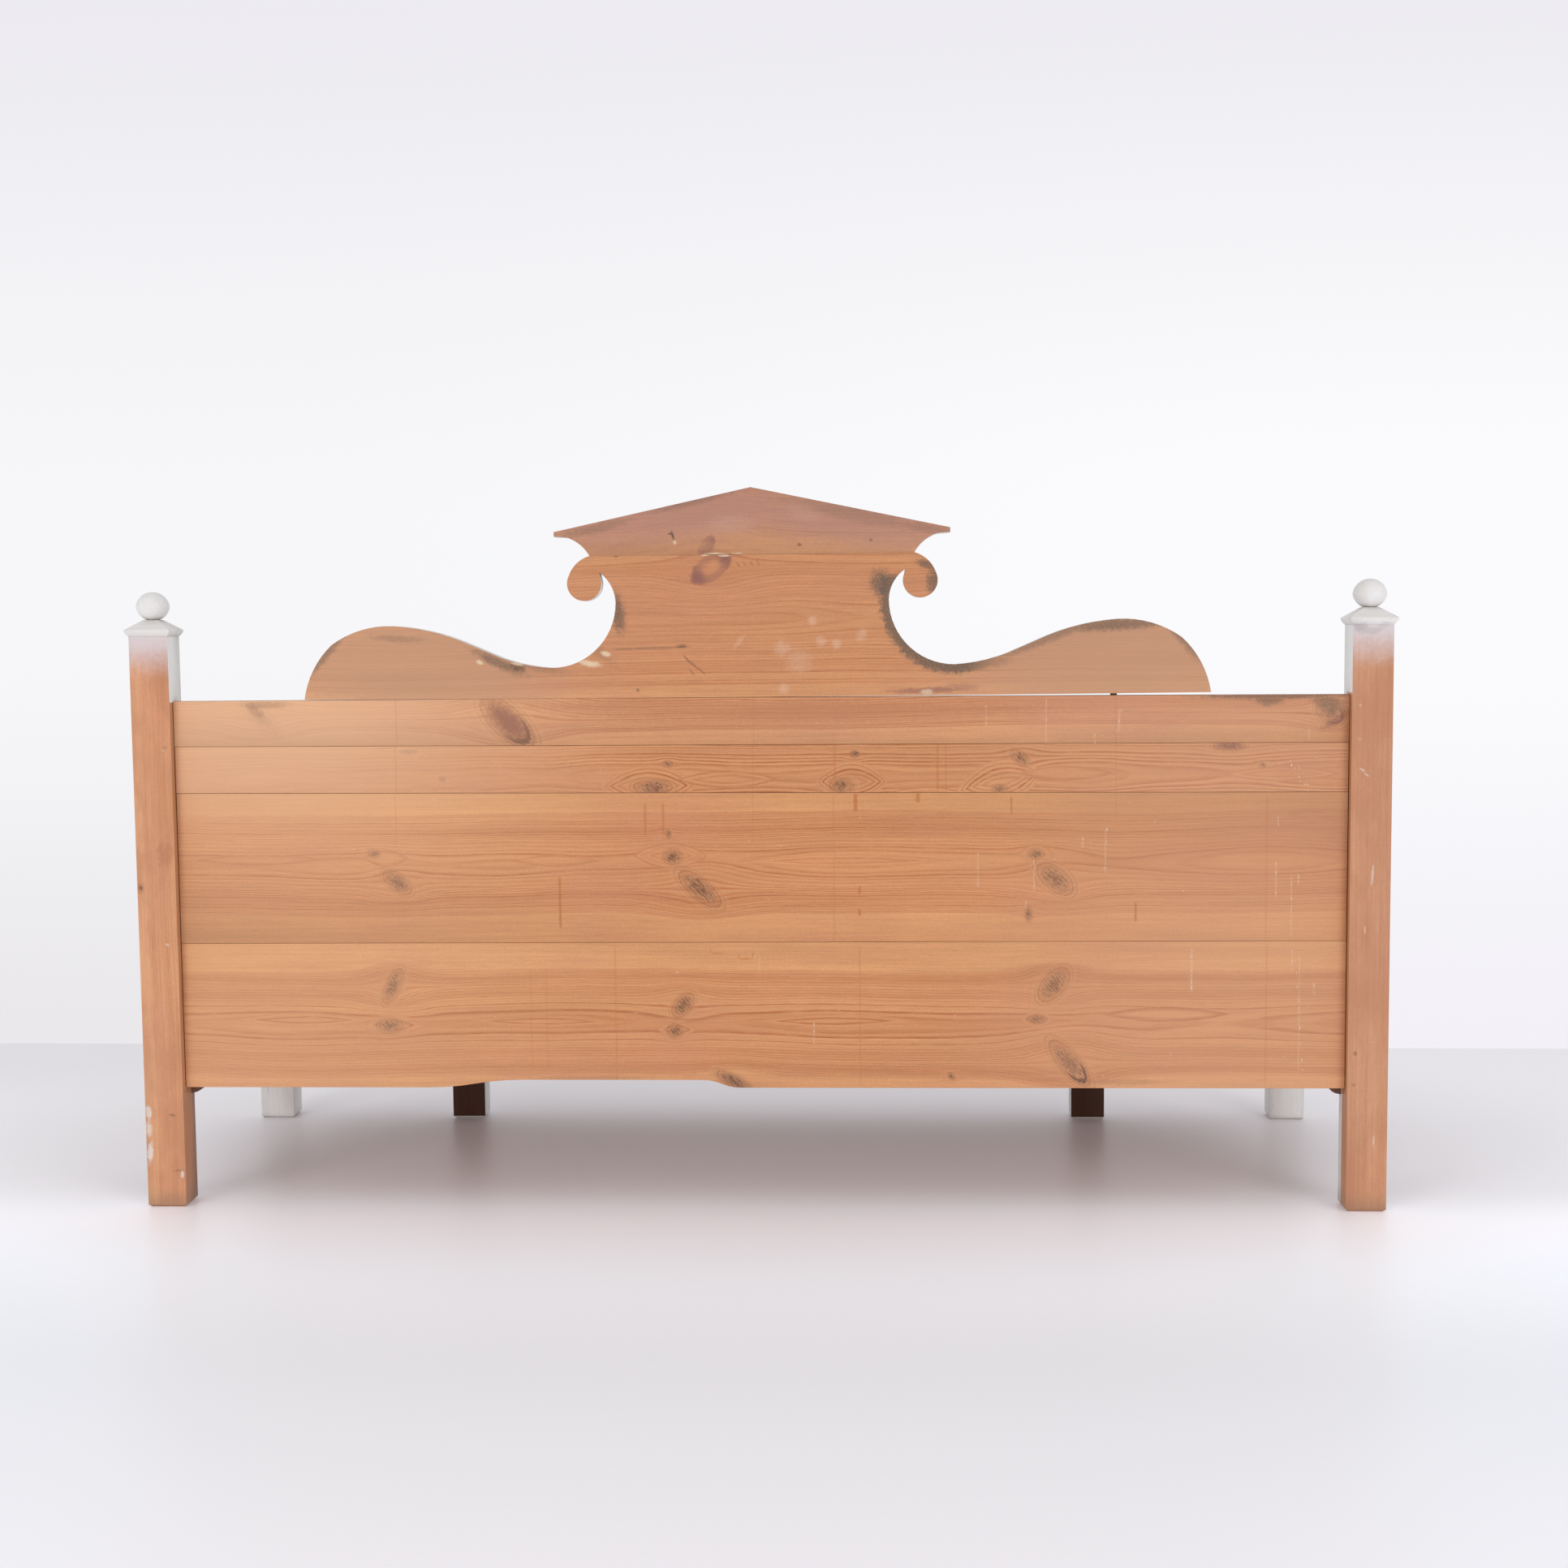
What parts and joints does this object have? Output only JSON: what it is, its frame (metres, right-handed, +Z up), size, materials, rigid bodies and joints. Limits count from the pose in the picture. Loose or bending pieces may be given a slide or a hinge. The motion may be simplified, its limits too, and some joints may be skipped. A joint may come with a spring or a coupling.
{
  "type": "pull-out bench bed",
  "caption": "Wooden settle with a gabled, scrolled back crest, ball-topped posts, a hinged seat lid and a slatted base whose front pulls out into a bed.",
  "frame": {"origin": "on the floor under the middle of the bench's bounding box", "axes": "+X along the bench, from the left end to the right end as a person facing its front sees it; +Y from the front to the back; +Z up"},
  "size_m": [1.9114, 0.6176, 1.0993],
  "materials": {
    "bare_pine": "satin",
    "painted_wood": "satin",
    "dark_stained_wood": "matte",
    "peg_wood": "satin",
    "iron": "satin"
  },
  "bodies": {
    "bench_frame": {"back_post_left": "bare_pine", "front_post_left": "painted_wood", "back_post_cap_left": "painted_wood", "front_post_cap_left": "painted_wood", "end_board_lower_left": "painted_wood", "end_board_upper_left": "painted_wood", "arm_rest_left": "painted_wood", "side_runner_left": "bare_pine", "lid_cleat_left": "bare_pine", "back_post_right": "bare_pine", "front_post_right": "painted_wood", "back_post_cap_right": "painted_wood", "front_post_cap_right": "painted_wood", "end_board_lower_right": "painted_wood", "end_board_upper_right": "painted_wood", "arm_rest_right": "painted_wood", "side_runner_right": "bare_pine", "lid_cleat_right": "bare_pine", "back_balls": "painted_wood", "front_balls": "painted_wood", "back_board_1": "bare_pine", "back_board_2": "bare_pine", "back_board_3": "bare_pine", "back_board_4": "bare_pine", "back_pegs": "peg_wood", "crest_board": "bare_pine", "crest_pediment": "bare_pine", "crest_dowels": "peg_wood", "rear_seat_rail": "painted_wood", "rear_slat_ledger": "bare_pine", "fixed_crossbar": "bare_pine", "fixed_slats": "bare_pine", "hinge_leaves_fixed": "iron", "hinge_pins": "iron"},
    "pull_out_bed": {"drawer_leg_left": "dark_stained_wood", "drawer_side_left": "bare_pine", "drawer_leg_right": "dark_stained_wood", "drawer_side_right": "bare_pine", "front_moulding_1": "painted_wood", "front_moulding_2": "painted_wood", "front_moulding_3": "painted_wood", "drawer_front_board": "painted_wood", "drawer_front_ledger": "bare_pine", "drawer_rear_crossbar": "bare_pine", "drawer_slats": "bare_pine"},
    "seat_lid": {"lid_front_board": "painted_wood", "lid_rear_board": "painted_wood", "lid_battens": "bare_pine", "hinge_leaves_lid": "iron"}
  },
  "joints": [
    {"name": "bed_slide", "type": "slide", "parent": "bench_frame", "child": "pull_out_bed", "axis": [0, -1, 0], "range_m": [0, 0.414]},
    {"name": "lid_hinge", "type": "hinge", "parent": "bench_frame", "child": "seat_lid", "pos_m": [0, 0.19515, 0.4551], "axis": [-1, 0, 0], "range_deg": [0, 95]}
  ]
}
